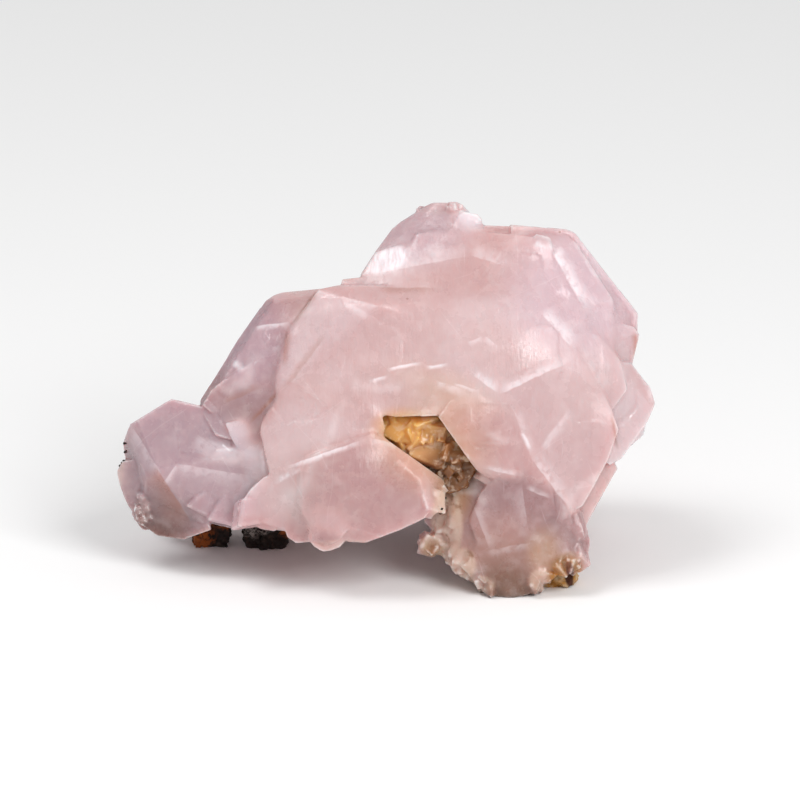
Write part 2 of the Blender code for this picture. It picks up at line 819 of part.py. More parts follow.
# small crystals lining the hollow: middle (u, v, w), length, width, turn of the length, degrees
# right, degrees up
LINING = [
    ((2.4, 35.6, -1.6), 5.0, 3.6, 20, 14, -20),
    ((5.6, 36.0, -0.6), 4.4, 3.0, -30, -6, -26),
    ((8.8, 36.2, -0.8), 4.2, 3.2, 10, 6, -30),
    ((4.8, 33.0, -0.8), 4.6, 3.2, 60, 22, -6),
    ((8.0, 33.6, 0.4), 3.6, 2.6, -20, 8, 10),
    ((11.2, 34.6, -0.6), 4.0, 3.4, 50, -18, -14),
    ((7.0, 30.8, -1.2), 4.8, 3.6, 30, 20, 10),
    ((10.2, 30.8, 0.2), 4.0, 3.0, -45, -4, 4),
    ((13.2, 31.2, -0.4), 4.4, 3.2, 70, -24, -6),
    ((10.4, 27.4, -1.1), 4.6, 3.6, 41, 10, 14),
    ((13.2, 27.6, 0.8), 2.6, 2.4, 5, 0, 0),
    ((15.6, 27.0, -0.8), 4.2, 3.2, 60, -22, -4),
    ((14.2, 24.6, -1.6), 4.0, 3.6, 15, 4, 14),
]

LINING_PLATE = dict(
    name="pocket_druse",
    outline=[(-1, 34.4), (1.4, 38), (11, 38), (15, 34), (18.6, 28), (19, 23), (12.4, 23), (6, 28)],
    face=(8, 31, -3.0, 0, 0),
    girdle=1.4, depth=6,
)


def small_crystal(name, middle, length, width, turn, right, up, grow=0):
    """A leaning rhombic block of the lining."""
    u, v, w = middle
    along = Vector((math.cos(math.radians(turn)), math.sin(math.radians(turn))))
    side = Vector((-along.y, along.x)) * width / 2
    skew = along * width * 0.22
    corners = [
        along * -length / 2 - side - skew,
        along * length / 2 - side - skew,
        along * length / 2 + side + skew,
        along * -length / 2 + side + skew,
    ]
    outline = [(u + corner.x, v + corner.y) for corner in corners]
    spec = dict(name=name, outline=outline, face=(u, v, w, right, up), girdle=1.2, taper=1.2, depth=5.5)
    return cut(spec, grow=grow)


def ground():
    """The block of ground that the specimen is cut flat against."""
    mesh = bpy.data.meshes.new("ground")
    bm = bmesh.new()
    bmesh.ops.create_cube(bm, size=GROUND * MM, matrix=Matrix.Translation((0, 0, -GROUND * MM / 2)))
    bm.to_mesh(mesh)
    bm.free()
    return bpy.data.objects.new("ground", mesh)


def keep_largest(made):
    """Drops the crumbs that a cut leaves beside the main body."""
    bm = bmesh.new()
    bm.from_mesh(made.data)
    left, bodies = set(bm.faces), []
    while left:
        body, edge = set(), [left.pop()]
        while edge:
            face = edge.pop()
            body.add(face)
            near = {other for side in face.edges for other in side.link_faces} & left
            left -= near
            edge.extend(near)
        bodies.append(body)
    bodies.sort(key=lambda body: sum(face.calc_area() for face in body))
    crumbs = [face for body in bodies[:-1] for face in body]
    bmesh.ops.delete(bm, geom=crumbs, context="FACES")
    bm.to_mesh(made.data)
    bm.free()


def lump(specs, colour):
    made = joined(specs[0]["name"], [cut(spec) for spec in specs])
    combine(made, ground(), "DIFFERENCE")
    made.data.materials.append(colour)
    return made


def lining(pink_rust):
    blocks = [cut(LINING_PLATE)]
    for count, (middle, *rest) in enumerate(LINING):
        blocks.append(small_crystal(f"lining_{count}", middle, *rest))
    made = joined("pocket_druse", blocks)
    around = HEART + CENTRE + RIGHT_LOW + LEG
    for spec in around:
        combine(made, cut(spec, grow=TOUCH_GAP), "DIFFERENCE")
    keep_largest(made)
    made.data.materials.append(pink_rust)
    return made


def centred(parts):
    """Moves everything so that the origin is under the middle of the whole, on the ground."""
    corners = [part.matrix_world @ vert.co for part in parts for vert in part.data.vertices]
    middle = [(max(c[k] for c in corners) + min(c[k] for c in corners)) / 2 for k in range(2)]
    for part in parts:
        part.data.transform(Matrix.Translation((-middle[0], -middle[1], 0)))


def main():
    for old in list(bpy.data.objects):
        bpy.data.objects.remove(old)
    pink = material("Pink calcite", PINK, 0.25)
    lined = material("Stained druse", HONEY, 0.35)
    soot = material("Dark matrix", SOOT, 0.8)
    rust = material("Rusty matrix", RUST, 0.8)

    cluster = calcite_cluster(pink)
    combine(cluster, ground(), "DIFFERENCE")
    for spec in LUMP_LEFT + LUMP_CENTRE + LUMP_RIGHT:
        combine(cluster, cut(spec, grow=TOUCH_GAP), "DIFFERENCE")
    parts = [
        cluster,
        lump(LUMP_LEFT, soot),
        lump(LUMP_CENTRE, soot),
        lump(LUMP_RIGHT, rust),
        lining(lined),
    ]
    for part in parts:
        tidy(part)
    keep_largest(cluster)
    centred(parts)


main()
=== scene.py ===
"""Dresses a manganoan calcite specimen: the fine surface of its crystals, the small crystals in its
hollow and along its leg, the bits of host rock under it, and their materials, floor, light and camera.

Places on the front are given on a drawing plane, as on the part: u to the right and v up in millimetres,
w the height towards the viewer. The plane leans back and stands on the ground where the front foot does.
"""

import math

import bmesh
import bpy
import numpy as np
from mathutils import Matrix, Vector
from mathutils.bvhtree import BVHTree


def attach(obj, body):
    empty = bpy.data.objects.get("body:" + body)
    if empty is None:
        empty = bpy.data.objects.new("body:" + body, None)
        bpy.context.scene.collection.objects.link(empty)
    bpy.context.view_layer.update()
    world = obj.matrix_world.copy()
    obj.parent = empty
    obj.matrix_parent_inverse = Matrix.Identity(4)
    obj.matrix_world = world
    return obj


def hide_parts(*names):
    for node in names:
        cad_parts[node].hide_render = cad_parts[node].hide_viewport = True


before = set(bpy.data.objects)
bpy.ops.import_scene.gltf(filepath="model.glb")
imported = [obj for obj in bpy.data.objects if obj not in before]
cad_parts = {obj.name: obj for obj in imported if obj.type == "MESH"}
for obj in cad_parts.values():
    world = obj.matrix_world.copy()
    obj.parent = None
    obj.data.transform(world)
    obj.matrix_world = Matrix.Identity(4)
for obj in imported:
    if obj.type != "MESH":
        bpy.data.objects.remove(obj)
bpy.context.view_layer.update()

MM = 0.001
LEAN = math.radians(20)  # how far the drawing plane leans back from the upright
FOOT = Vector((0.06, -29.17, 0))  # where the drawing plane stands on the ground, in mm
MERGE = 0.02 * MM  # corners nearer than this are one
FLAT = math.cos(math.radians(0.6))  # faces that turn by less than this are one crystal face
SKIN_MESH = 0.32  # spacing of the crystals' fine mesh, in mm
SKIN_LIMIT = 190000  # triangles in that mesh
BED_MESH = 0.8  # spacing of the coarse mesh that small crystals are placed on, in mm
ROCK_MESH = 0.22  # spacing of the rocks' mesh, in mm
DRUSE_MESH = 0.2  # spacing of the druse's mesh, in mm
DRUSE_LIMIT = 90000  # triangles in that mesh
FRONT_REACH = -26  # w of the deepest face that still counts as the front, in mm
HEALING = 0.95  # how much of a healed step is gone where the healing is full
HEAL_TIMES = 110  # how many times a healed step is spread to its neighbours
TIP = math.radians(40)  # how far a small crystal may be tipped from standing flat on its bed
LEDGE = 0.16  # height of the growth ledges on the crystal faces, in mm


def front_frame():
    """From millimetres on the drawing plane to metres in the part's frame."""
    across = Vector((1, 0, 0))
    up = Vector((0, math.sin(LEAN), math.cos(LEAN)))
    towards = Vector((0, -math.cos(LEAN), math.sin(LEAN)))
    turn = Matrix((across, up, towards)).transposed().to_4x4()
    return Matrix.Translation(FOOT * MM) @ turn @ Matrix.Scale(MM, 4)


FRONT = front_frame()

# ---------------------------------------------------------------- nodes


def linear(hex_colour):
    """An sRGB hex colour as linear red, green, blue and alpha."""
    parts = [int(hex_colour[k : k + 2], 16) / 255 for k in (1, 3, 5)]
    return (*(c / 12.92 if c <= 0.04045 else ((c + 0.055) / 1.055) ** 2.4 for c in parts), 1)


def add(tree, kind, settings=None, **inputs):
    """A shader node. An input is named in lower case with _ for a space, or by its number as in0, in1.
    A value is set on its socket and a socket is linked to it."""
    node = tree.nodes.new("ShaderNode" + kind)
    for name, value in (settings or {}).items():
        setattr(node, name, value)
    for name, value in inputs.items():
        if name.startswith("in") and name[2:].isdigit():
            socket = node.inputs[int(name[2:])]
        else:
            socket = next(s for s in node.inputs if s.name.lower().replace(" ", "_") == name and s.enabled)
        if isinstance(value, bpy.types.NodeSocket):
            tree.links.new(value, socket)
        else:
            socket.default_value = value
    return node


def maths(tree, operation, *values):
    inputs = {f"in{k}": value for k, value in enumerate(values)}
    return add(tree, "Math", {"operation": operation}, **inputs).outputs[0]


def ramp(tree, value, low, high, to_low=0.0, to_high=1.0, smooth=True):
    """Value carried from low..high to to_low..to_high, and no further."""
    settings = {"interpolation_type": "SMOOTHSTEP" if smooth else "LINEAR"}
    node = add(tree, "MapRange", settings, value=value, from_min=low, from_max=high, to_min=to_low, to_max=to_high)
    return node.outputs["Result"]


def tint(tree, amount, base, over):
    """Base colour covered by the other colour by amount."""
    node = add(tree, "Mix", {"data_type": "RGBA"}, factor=amount)
    for socket, value in ((node.inputs[6], base), (node.inputs[7], over)):
        if isinstance(value, bpy.types.NodeSocket):
            tree.links.new(value, socket)
        else:
            socket.default_value = linear(value)
    return node.outputs[2]


def new_material(name):
    made = bpy.data.materials.new(name)
    made.use_nodes = True
    return made, made.node_tree, made.node_tree.nodes["Principled BSDF"]


def drawing_place(tree):
    """The place on the drawing plane in mm: u, minus w, v."""
    coords = add(tree, "TexCoord").outputs["Object"]
    back = Matrix.Rotation(LEAN, 3, "X") @ FOOT
    node = add(tree, "Mapping", vector=coords, location=-back, rotation=(LEAN, 0, 0), scale=(1 / MM,) * 3)
    return node.outputs[0]


def patch(tree, place, middle, radii, soft=0.5, turn=0):
    """1 inside an ellipse around middle (u, v, w), falling to 0 over its outer part."""
    u, v, w = middle
    moved = add(tree, "VectorMath", {"operation": "SUBTRACT"}, in0=place, in1=(u, -w, v)).outputs[0]
    turned = add(tree, "VectorRotate", {"rotation_type": "Y_AXIS"}, vector=moved, angle=math.radians(turn))
    scaled = add(
        tree, "VectorMath", {"operation": "DIVIDE"}, in0=turned.outputs[0], in1=(radii[0], radii[2], radii[1])
    )
    length = add(tree, "VectorMath", {"operation": "LENGTH"}, in0=scaled.outputs[0]).outputs["Value"]
    return ramp(tree, length, 1, 1 - soft)


# ---------------------------------------------------------------- materials


# healed cracks, growth lines and worn edges on the front, seen as paler lines, and among them painted
# highlights, the reflections down the right and a glint right of the hollow: from (u, v) to (u, v),
# how far they fade to the left and the right of the way they run, in mm, and their strength
PALE_LINES = [
    # long streaks down the right: painted highlights, the light reflected by the faces there
    (32.6, 71.4, 40.6, 57.0, 2.8, 0.5, 1.0), (37.4, 72.2, 43.8, 62.0, 2.6, 0.6, 0.4),
    (31.0, 57.8, 38.2, 49.6, 3.2, 0.5, 0.75), (38.6, 50.4, 44.0, 41.4, 2.4, 0.6, 0.3),
    (29.8, 71.6, 32.4, 69.6, 1.4, 1.4, 0.7), (52.4, 44.0, 53.6, 39.0, 0.4, 1.2, 0.5),
    # the old outlines of faces in the middle
    (-4.4, 65.1, 17.8, 69.2, 4.0, 0.3, 0.4), (16.8, 69.2, 25.4, 66.4, 3.0, 0.3, 0.35),
    (16.2, 51.4, 19.6, 52.8, 0.3, 1.4, 0.4), (19.6, 52.8, 22.8, 50.4, 0.3, 1.4, 0.4),
    (17.4, 45.0, 22.8, 41.4, 2.0, 0.4, 0.7), (22.6, 41.4, 37.4, 48.2, 2.2, 0.4, 0.7),
    (-8.2, 59.4, -2.2, 56.4, 0.5, 1.6, 0.35),
    # bright cracks over the hollow
    (0.4, 46.2, 7.4, 47.6, 0.4, 0.8, 0.9), (7.8, 46.6, 12.6, 47.3, 0.4, 0.8, 0.8),
    (-3.4, 43.8, 0.6, 44.8, 0.4, 0.9, 0.7),
    (9.6, 43.8, 16.8, 41.4, 0.5, 1.8, 0.45), (13.4, 43.2, 18.6, 41.8, 0.3, 0.8, 0.5),
    # right of the hollow, the first a painted glint
    (27.2, 33.8, 29.0, 29.6, 0.8, 0.8, 0.9), (30.8, 30.0, 37.0, 38.4, 0.6, 1.8, 0.4),
    (25.6, 38.0, 29.6, 27.4, 2.0, 0.3, 0.4), (28.8, 28.8, 37.4, 17.4, 3.2, 0.3, 0.5),
    (19.4, 26.4, 27.4, 24.8, 1.2, 0.3, 0.5), (27.8, 22.4, 33.4, 20.2, 1.2, 0.3, 0.4),
    # the leg
    (27.0, 23.0, 28.6, 12.8, 0.3, 3.0, 0.25), (17.4, 19.0, 21.2, 9.2, 1.8, 0.3, 0.3),
    (20.0, 9.6, 30.0, 11.6, 0.4, 1.6, 0.3),
    # the crystal at the left and the blade beside it
    (-39.0, 32.4, -25.6, 28.4, 1.0, 3.6, 0.4), (-32.8, 31.2, -30.8, 29.6, 0.3, 0.6, 0.9),
    (-51.2, 35.0, -44.2, 23.6, 0.3, 2.8, 0.4), (-44.6, 23.4, -41.4, 27.6, 0.3, 1.6, 0.5),
    (-42.6, 27.2, -25.0, 24.4, 0.3, 3.4, 0.4), (-24.8, 30.4, -24.0, 24.4, 0.3, 0.9, 0.6),
    # the back slope and the front crystals
    (-26.4, 54.6, -18.8, 55.6, 0.3, 1.2, 0.7), (-30.4, 47.8, -28.4, 45.6, 1.2, 1.2, 0.6),
    (-20.0, 26.6, -3.4, 32.4, 0.3, 1.2, 0.8), (-22.4, 23.4, -16.4, 26.6, 1.2, 0.8, 0.6),
    (-3.4, 32.4, 4.6, 30.4, 0.3, 1.4, 0.35),
]
# the same for lines that are darker and warmer than what is round them: dark cracks, and painted shadow
# along the seams where one crystal overhangs the next
WARM_LINES = [
    (-46.4, 26.8, -38.6, 14.6, 0.3, 5.5, 0.7), (-13.8, 62.0, -19.8, 54.0, 1.4, 0.4, 0.55),
    (-19.8, 54.0, -20.6, 46.0, 1.4, 0.5, 0.5), (-12.0, 53.0, -21.4, 40.6, 0.4, 1.4, 0.35),
    (-21.6, 41.4, -27.4, 35.0, 0.4, 0.8, 0.7), (-32.6, 39.4, -23.8, 43.2, 1.6, 0.4, 0.4),
    (-1.4, 62.4, 11.0, 62.2, 0.3, 1.4, 0.5), (45.0, 37.2, 46.6, 29.6, 0.4, 0.6, 0.6),
    (50.0, 53.6, 50.2, 47.0, 1.0, 1.0, 0.7), (-11.4, 64.4, -4.6, 64.6, 0.8, 0.8, 0.5),
]


def line_group():
    """One line on a face: 1 along it, fading over Left and Right mm to its sides and towards its ends. Along is
    its heading over its length, Aside points to its left, and Start and Middle are where it lies on them."""
    made = bpy.data.node_groups.new("line in the crystal", "ShaderNodeTree")
    for name in ("Place", "Along", "Aside"):
        made.interface.new_socket(name=name, in_out="INPUT", socket_type="NodeSocketVector")
    for name in ("Start", "Middle", "Left", "Right"):
        made.interface.new_socket(name=name, in_out="INPUT", socket_type="NodeSocketFloat")
    made.interface.new_socket(name="Amount", in_out="OUTPUT", socket_type="NodeSocketFloat")
    given = made.nodes.new("NodeGroupInput").outputs
    along = add(made, "VectorMath", {"operation": "DOT_PRODUCT"}, in0=given["Place"], in1=given["Along"])
    along = maths(made, "SUBTRACT", along.outputs["Value"], given["Start"])
    side = add(made, "VectorMath", {"operation": "DOT_PRODUCT"}, in0=given["Place"], in1=given["Aside"])
    side = maths(made, "SUBTRACT", side.outputs["Value"], given["Middle"])
    amount = maths(made, "MULTIPLY", ramp(made, along, -0.04, 0.18), ramp(made, along, 1.04, 0.62))
    amount = maths(made, "MULTIPLY", amount, ramp(made, side, given["Left"], 0))
    amount = maths(made, "MULTIPLY", amount, ramp(made, maths(made, "MULTIPLY", side, -1), given["Right"], 0))
    made.links.new(amount, made.nodes.new("NodeGroupOutput").inputs["Amount"])
    return made


def drawn_lines(tree, place, group, table):
    """The strongest of the table's lines at each place, on the front of the specimen only."""
    total = 0.0
    for u0, v0, u1, v1, left, right, strength in table:
        start, way = Vector((u0, 0, v0)), Vector((u1 - u0, 0, v1 - v0))
        along, aside = way / way.length_squared, way.normalized().cross((0, 1, 0))
        line = add(
            tree, "Group", {"node_tree": group}, place=place, along=along, aside=aside,
            start=start.dot(along), middle=start.dot(aside), left=left, right=right,
        )
        total = maths(tree, "MAXIMUM", total, maths(tree, "MULTIPLY", line.outputs[0], strength))
    depth = add(tree, "SeparateXYZ", vector=place).outputs["Y"]
    return maths(tree, "MULTIPLY", total, ramp(tree, depth, 16, 11))


def noise(tree, place, size, detail=2.0, roughness=0.5):
    """A cloudy pattern whose clouds are about size mm across, round 0.5."""
    return add(tree, "TexNoise", vector=place, scale=1 / size, detail=detail, roughness=roughness).outputs["Fac"]


def cleavage(tree, place, across, spacing, size):
    """Straight fine lines, spacing mm apart, where a crystal's cleavage planes meet its faces, broken off at
    random."""
    level = add(tree, "VectorMath", {"operation": "DOT_PRODUCT"}, in0=place, in1=across).outputs["Value"]
    level = maths(tree, "ADD", level, maths(tree, "MULTIPLY", noise(tree, place, 14, 1), 5))
    line = ramp(tree, maths(tree, "PINGPONG", level, spacing / 2), 0.16, 0)
    return maths(tree, "MULTIPLY", line, ramp(tree, noise(tree, place, size), 0.52, 0.66))


def pink_calcite():
    """Manganoan calcite, as grown: milky and translucent, so light spreads inside and the edges glow, with
    glassy faces. Healed cracks and cleavage planes show as paler veils inside. Some light and shade is also
    painted into its colour: highlights on the edges, glints and a reflection, and shade on the left, in
    seams and underneath."""
    made, tree, shader = new_material("pink manganoan calcite, grown faces")
    place = drawing_place(tree)
    colour = tint(tree, ramp(tree, noise(tree, place, 20, 3, 0.45), 0.35, 0.65), "#C7A09F", "#D0AFAD")
    # each crystal face's tone: lighter where milkier, darker where clearer, and darker with painted shade on the left
    # and under the leg
    tone = add(tree, "Attribute", {"attribute_name": "tone"}).outputs["Fac"]
    colour = tint(tree, ramp(tree, tone, 0, 1, smooth=False), colour, "#E0D3D7")
    colour = tint(tree, ramp(tree, tone, 0, -1, smooth=False), colour, "#846266")

    def over(amount, strength, cover):
        return tint(tree, maths(tree, "MULTIPLY", amount, strength), colour, cover)

    # the crystal at the left and the crest are greyer, with a touch of lavender
    colour = over(patch(tree, place, (-44, 24, 0), (22, 22, 60), 0.4), 0.6, "#BCA6B0")
    colour = over(patch(tree, place, (4, 75, 0), (16, 12, 60), 0.6), 0.5, "#C4AEB8")
    colour = over(patch(tree, place, (40, 62, 0), (22, 20, 60), 0.7), 0.6, "#D6C0CA")
    colour = over(patch(tree, place, (-28, 52, 0), (12, 16, 60), 0.7), 0.5, "#C2A8B6")
    # cream where the crystals over the hollow are clear to the stain behind them
    colour = over(patch(tree, place, (9, 31, 0), (17, 14, 18), 0.75), 0.5, "#CE9C6C")
    colour = over(patch(tree, place, (-3.4, 39.6, 0), (10, 9, 30), 0.8), 0.4, "#BC8C86")
    colour = over(patch(tree, place, (3, 34.5, 0), (8, 5, 18), 0.8), 0.75, "#DFA254")
    colour = over(patch(tree, place, (12, 42, 0), (16, 6, 40), 0.9, -18), 0.35, "#D9B294")
    # the leg is clearer, and brown with what it stands on; the leg's foot and the underside of the crystal at
    # the left are darkened with painted shade, and the left edge is darker too
    colour = over(patch(tree, place, (22, 3, 0), (22, 19, 40), 0.7), 0.6, "#AE8474")
    colour = over(patch(tree, place, (23, -2, 0), (15, 12, 40), 0.6), 0.9, "#7A5846")
    colour = over(patch(tree, place, (13.4, 20.8, 0), (5.6, 8, 18), 0.7), 0.75, "#A87A50")
    colour = over(patch(tree, place, (31.6, 9.4, 0), (5, 7, 30), 0.8), 0.5, "#C8A486")
    colour = over(patch(tree, place, (-47, 9, 0), (16, 17, 40), 0.7), 0.95, "#6A4A40")
    colour = over(patch(tree, place, (-55, 26, 0), (7, 18, 60), 0.8), 0.5, "#8E7470")
    # the crust of small frosted crystals is cream, with rust in its hollows
    crust = add(tree, "Attribute", {"attribute_name": "crust"}).outputs["Fac"]
    colour = over(ramp(tree, crust, 0, 1), 0.65, "#D8BEAC")
    colour = over(patch(tree, place, (9.4, 9.6, 0), (3.4, 3.4, 40), 0.6), 0.7, "#A48460")
    # painted glints: white specks where the crystal at the left is broken
    painted_glints = ramp(tree, noise(tree, place, 0.8, 2), 0.54, 0.62)
    painted_glints = maths(tree, "MULTIPLY", painted_glints, patch(tree, place, (-49.6, 17.0, 0), (1.3, 3.6, 40), 0.5, 22))
    colour = over(painted_glints, 0.65, "#FFFFFF")
    # rust where the crystals meet the dark rock
    colour = over(patch(tree, place, (-34.6, 13.4, -20), (5, 2.0, 20), 0.7, -8), 0.85, "#9C5E28")
    colour = over(patch(tree, place, (-20.4, 13.2, -20), (2.6, 2.4, 20), 0.7), 0.85, "#B47430")
    colour = over(patch(tree, place, (36.0, 5.6, 0), (4.4, 4.6, 40), 0.5), 0.9, "#94692E")
    colour = over(patch(tree, place, (33.9, 4.4, 0), (2.4, 2.6, 40), 0.8), 0.9, "#A86E18")
    colour = over(patch(tree, place, (36.9, 5.4, 0), (1.0, 3.0, 40), 0.5, 8), 1.0, "#4A1E08")
    rust = maths(tree, "MULTIPLY", ramp(tree, crust, 0.2, 0.6), ramp(tree, noise(tree, place, 2.6, 3), 0.56, 0.72))
    colour = over(rust, 0.7, "#8A5C3C")
    # fine mottling, and sheets of healed cracks that wander through the crystals
    colour = over(ramp(tree, noise(tree, place, 2.2, 4), 0.4, 0.75), 0.14, "#EAD9D8")
    wander = maths(tree, "ABSOLUTE", maths(tree, "MULTIPLY_ADD", noise(tree, place, 24, 1.5, 0.4), 2, -1))
    sheet = maths(tree, "MULTIPLY", ramp(tree, wander, 0.09, 0), ramp(tree, noise(tree, place, 9), 0.48, 0.66))
    colour = over(sheet, 0.3, "#EFE2E2")
    for across, spacing, size in (((0.77, 0.3, 0.56), 7, 10), ((-0.5, 0.4, 0.77), 9, 12), ((0.97, 0.2, -0.1), 11, 8)):
        colour = over(cleavage(tree, place, across, spacing, size), 0.16, "#EFE0E2")
    shaken = add(
        tree, "VectorMath", {"operation": "MULTIPLY_ADD"},
        in0=add(tree, "TexNoise", vector=place, scale=0.35, detail=4).outputs["Color"], in1=(0.7,) * 3, in2=place,
    ).outputs[0]
    shaken = add(tree, "VectorMath", {"operation": "SUBTRACT"}, in0=shaken, in1=(0.35,) * 3).outputs[0]
    group = line_group()
    broken = ramp(tree, noise(tree, place, 1.6, 3), 0.3, 0.55, 0.35, 1)
    pale = maths(tree, "MULTIPLY", drawn_lines(tree, shaken, group, PALE_LINES), broken)
    # the pale lines: veils, growth lines and worn edges, with painted highlights among them
    colour = over(pale, 0.85, "#F6EDF0")
    # dark cracks, and painted shadow in the seams under overhanging crystals
    colour = over(drawn_lines(tree, shaken, group, WARM_LINES), 0.8, "#A8705E")
    # painted highlight: the edges are lightened where light spreading in the crystal makes them glow; and a
    # few rusty specks sit on the faces
    rim = add(tree, "Attribute", {"attribute_name": "rim"}).outputs["Fac"]
    colour = over(ramp(tree, rim, 0.15, 0.9), 0.35, "#F2E6E4")
    cells = add(tree, "TexVoronoi", vector=shaken, scale=0.17)
    chance = add(tree, "SeparateColor", color=cells.outputs["Color"]).outputs["Red"]
    speck = maths(tree, "MULTIPLY", ramp(tree, cells.outputs["Distance"], 0.06, 0.03), ramp(tree, chance, 0.7, 0.72))
    colour = over(speck, 0.6, "#8A5A48")
    # painted reflection: the mirror-bright face at the crest is painted near white, brushed all over, slantwise
    scored = add(tree, "Mapping", vector=shaken, rotation=(0, 0.9, 0), scale=(1, 0.4, 0.1)).outputs[0]
    scored = ramp(tree, noise(tree, scored, 0.7, 3), 0.35, 0.65, 0.35, 1)
    painted_mirror_glare = patch(tree, place, (0.6, 67.8, -14), (6.6, 3.4, 17), 0.3, 22)
    colour = over(maths(tree, "MULTIPLY", painted_mirror_glare, scored), 0.7, "#FCF6FA")
    tree.links.new(colour, shader.inputs["Base Color"])
    # etched faces: glassy patches among finely frosted ones, with low pits and striations
    frosted = ramp(tree, noise(tree, place, 6, 4, 0.6), 0.35, 0.65, 0.14, 0.42)
    tree.links.new(maths(tree, "ADD", frosted, maths(tree, "MULTIPLY", pale, 0.2)), shader.inputs["Roughness"])
    stretched = add(tree, "Mapping", vector=place, rotation=(0.3, 0.8, 0.2), scale=(1, 1, 0.15)).outputs[0]
    relief = maths(tree, "ADD", noise(tree, place, 1.4, 4, 0.6), noise(tree, stretched, 0.7, 2))
    bump = add(tree, "Bump", height=relief, strength=0.5, distance=0.12 * MM)
    tree.links.new(bump.outputs[0], shader.inputs["Normal"])
    shader.inputs["Subsurface Weight"].default_value = 1
    shader.inputs["Subsurface Radius"].default_value = (1.0, 0.66, 0.64)
    shader.inputs["Subsurface Scale"].default_value = 7 * MM
    shader.inputs["IOR"].default_value = 1.5
    return made


def stained_calcite():
    """The druse in the hollow, grown over iron rust: honey yellow above, darker amber brown lower down at the
    right, with clear glassy faces that glint."""
    made, tree, shader = new_material("iron-stained calcite druse")
    place = drawing_place(tree)
    colour = tint(tree, ramp(tree, noise(tree, place, 5, 3), 0.35, 0.65), "#B47C4C", "#CB9C6E")
    colour = tint(tree, patch(tree, place, (4, 35, 0), (9, 7, 20), 0.8), colour, "#E2AC62")
    colour = tint(tree, patch(tree, place, (13, 24, 0), (9, 9, 20), 0.6), colour, "#7C5230")
    clear = ramp(tree, noise(tree, place, 1.6, 2), 0.5, 0.66)
    colour = tint(tree, maths(tree, "MULTIPLY", clear, 0.35), colour, "#F0DCC6")
    tree.links.new(colour, shader.inputs["Base Color"])
    shader.inputs["Subsurface Weight"].default_value = 1
    shader.inputs["Subsurface Radius"].default_value = (1.0, 0.8, 0.6)
    shader.inputs["Subsurface Scale"].default_value = 3 * MM
    shader.inputs["Roughness"].default_value = 0.22
    return made


def dark_rock():
    made, tree, shader = new_material("manganese-blackened host rock, broken")
    place = drawing_place(tree)
    colour = tint(tree, ramp(tree, noise(tree, place, 1.7, 6), 0.5, 0.7), "#1A0D07", "#3E2C22")
    ragged = add(tree, "TexNoise", vector=place, scale=0.5, detail=3).outputs["Color"]
    place = add(tree, "VectorMath", {"operation": "MULTIPLY_ADD"}, in0=ragged, in1=(5,) * 3, in2=place).outputs[0]
    place = add(tree, "VectorMath", {"operation": "SUBTRACT"}, in0=place, in1=(2.5,) * 3).outputs[0]
    stains = (
        ((-37.4, 12.6, -28), (3.4, 5.5, 14)),
        ((-20.4, 14.4, -28), (2.6, 3.0, 14)),
        ((-33.4, 15.6, -28), (3.0, 2.4, 14)),
    )
    for middle, radii in stains:
        rust = patch(tree, place, middle, radii, 0.8)
        rust = maths(tree, "MULTIPLY", rust, ramp(tree, noise(tree, place, 1.5, 3), 0.36, 0.52))
        colour = tint(tree, rust, colour, "#A8561A")
    grey = patch(tree, place, (-26.4, 14.2, -28), (4.0, 2.6, 14), 0.6)
    grey = maths(tree, "MULTIPLY", grey, ramp(tree, noise(tree, place, 0.8, 3), 0.4, 0.6))
    colour = tint(tree, maths(tree, "MULTIPLY", grey, 0.9), colour, "#A39A94")
    tree.links.new(colour, shader.inputs["Base Color"])
    shader.inputs["Roughness"].default_value = 0.8
    return made


def rusty_rock():
    made, tree, shader = new_material("iron-rusted host rock, crumbly")
    place = drawing_place(tree)
    colour = tint(tree, ramp(tree, noise(tree, place, 2, 6), 0.4, 0.62), "#CDB08C", "#B07A34")
    dark = patch(tree, place, (36.6, 4.8, 0), (1.1, 3.2, 40), 0.4, 10)
    colour = tint(tree, dark, colour, "#4A230C")
    tree.links.new(colour, shader.inputs["Base Color"])
    shader.inputs["Roughness"].default_value = 0.8
    return made


def floor_paint():
    made, _, shader = new_material("matt white studio paper")
    shader.inputs["Base Color"].default_value = linear("#FCFCFC")
    shader.inputs["Roughness"].default_value = 0.9
    return made


# ---------------------------------------------------------------- shaping


def only(made):
    """Selects this object and no other, and makes it the active one."""
    bpy.ops.object.select_all(action="DESELECT")
    made.select_set(True)
    bpy.context.view_layer.objects.active = made


def modify(made, kind, **settings):
    """Adds a modifier with these settings and applies it."""
    only(made)
    step = made.modifiers.new(kind.title(), kind)
    for name, value in settings.items():
        setattr(step, name, value)
    bpy.ops.object.modifier_apply(modifier=step.name)


def copy_of(node, name):
    """A new piece with the node's own shape, its corners merged."""
    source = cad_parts[node]
    made = bpy.data.objects.new(name, source.data.copy())
    bpy.context.scene.collection.objects.link(made)
    made.data.materials.clear()
    only(made)
    bpy.ops.object.mode_set(mode="EDIT")
    bpy.ops.mesh.select_all(action="SELECT")
    bpy.ops.mesh.remove_doubles(threshold=MERGE)
    bpy.ops.object.mode_set(mode="OBJECT")
    return made


def cloud_texture(name, kind, size, **settings):
    """A pattern for a displacement, its size in mm."""
    made = bpy.data.textures.new(name, kind)
    made.noise_scale = size * MM
    for key, value in settings.items():
        setattr(made, key, value)
    return made


def corners_of(made):
    """The places of a mesh's corners, one row each."""
    places = np.empty(len(made.data.vertices) * 3, np.float32)
    made.data.vertices.foreach_get("co", places)
    return places.reshape(-1, 3)


def move_corners(made, places):
    made.data.vertices.foreach_set("co", places.astype(np.float32).ravel())
    made.data.update()


